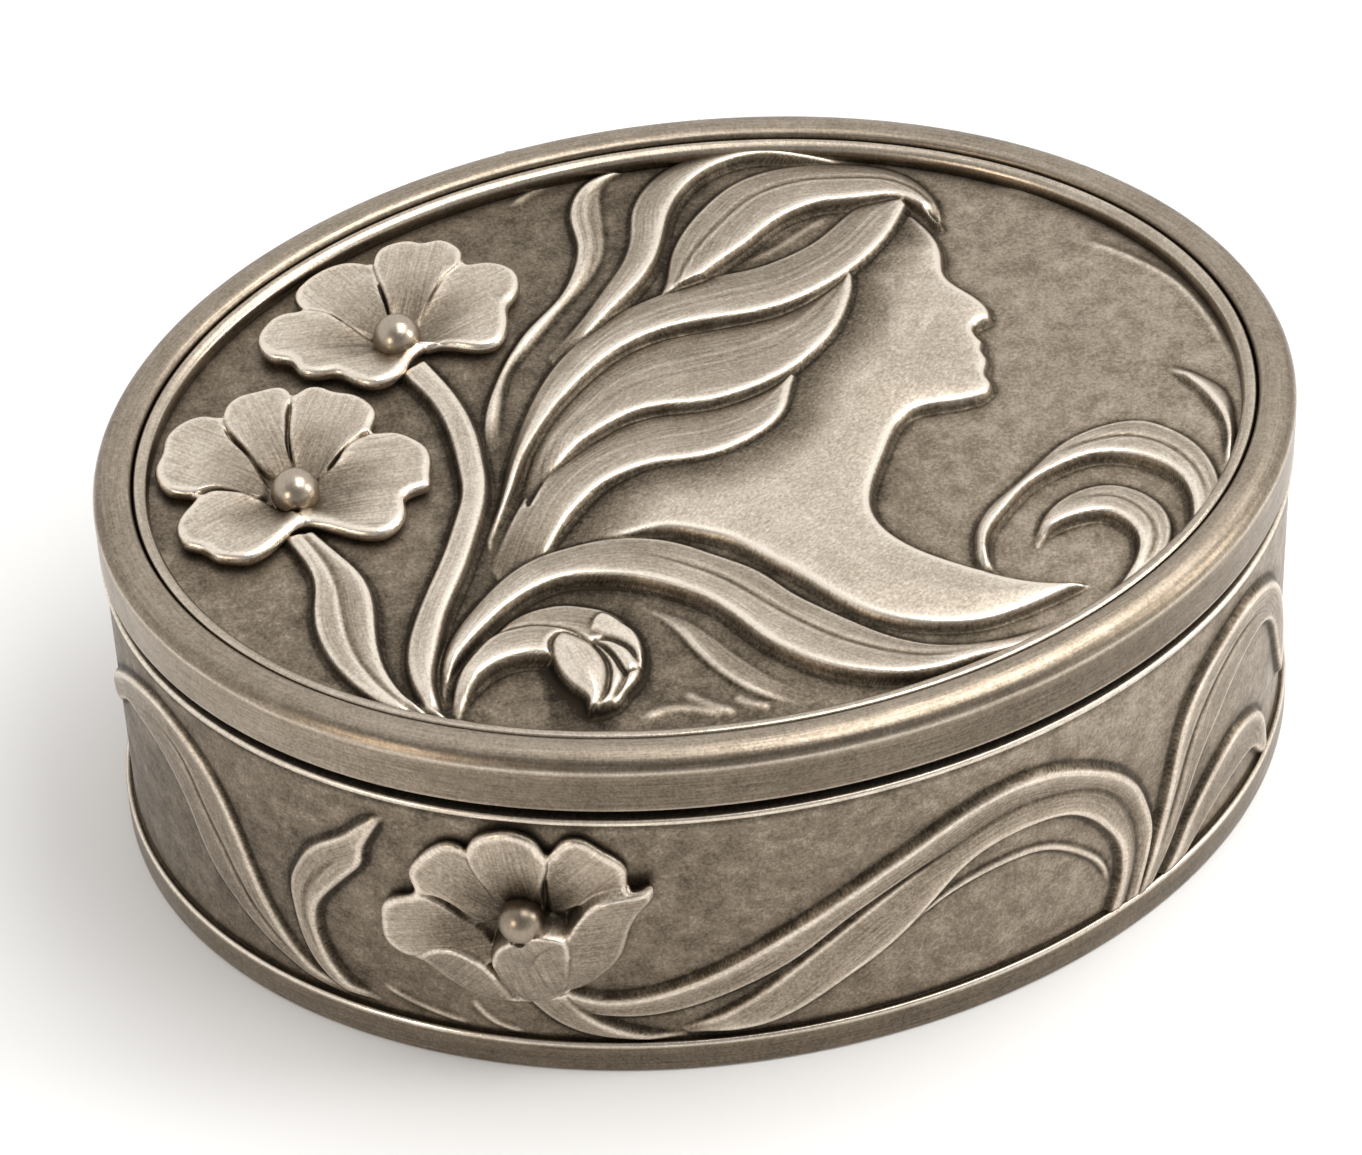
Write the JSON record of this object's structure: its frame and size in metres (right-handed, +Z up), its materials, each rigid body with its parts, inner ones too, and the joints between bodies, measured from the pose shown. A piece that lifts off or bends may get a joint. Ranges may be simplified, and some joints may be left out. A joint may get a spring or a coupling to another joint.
{
  "type": "keepsake box",
  "caption": "Oval metal keepsake box with a hinged lid, floral and profile-bust relief, a velvet-lined inside and a felted underside.",
  "frame": {"origin": "middle of the flat underside", "axes": "+X along the oval's long axis, -Y the front, +Y the hinge, +Z up"},
  "size_m": [0.152, 0.1181, 0.057],
  "materials": {
    "pewter": "antiqued satin pewter with worn bright edges",
    "polished_pewter": "polished pewter",
    "dark_pewter": "oxidised pewter",
    "hinge_metal": "antiqued plating",
    "velvet": "short-pile velvet",
    "felt": "pressed felt"
  },
  "bodies": {
    "box": {"base_plate": "pewter", "base_felt": "felt", "body_wall": "pewter", "collar": "dark_pewter", "side_lining": "velvet", "floor_cushion": "velvet", "front_flower": "pewter", "back_flower": "pewter", "wall_ball_studs": "polished_pewter", "hinge_body_leaf": "hinge_metal", "hinge_body_rivets": "hinge_metal", "hinge_pin": "hinge_metal"},
    "lid": {"lid_rim": "pewter", "lid_plaque": "pewter", "plaque_bezel": "pewter", "lid_lining": "velvet", "upper_flower": "pewter", "lower_flower": "pewter", "lid_ball_studs": "polished_pewter", "hinge_lid_leaf": "hinge_metal", "hinge_lid_rivets": "hinge_metal"}
  },
  "joints": [
    {"name": "lid_hinge", "type": "hinge", "parent": "box", "child": "lid", "pos_m": [0, 0.0586, 0.0454], "axis": [-1, 0, 0], "range_deg": [0, 100]}
  ]
}
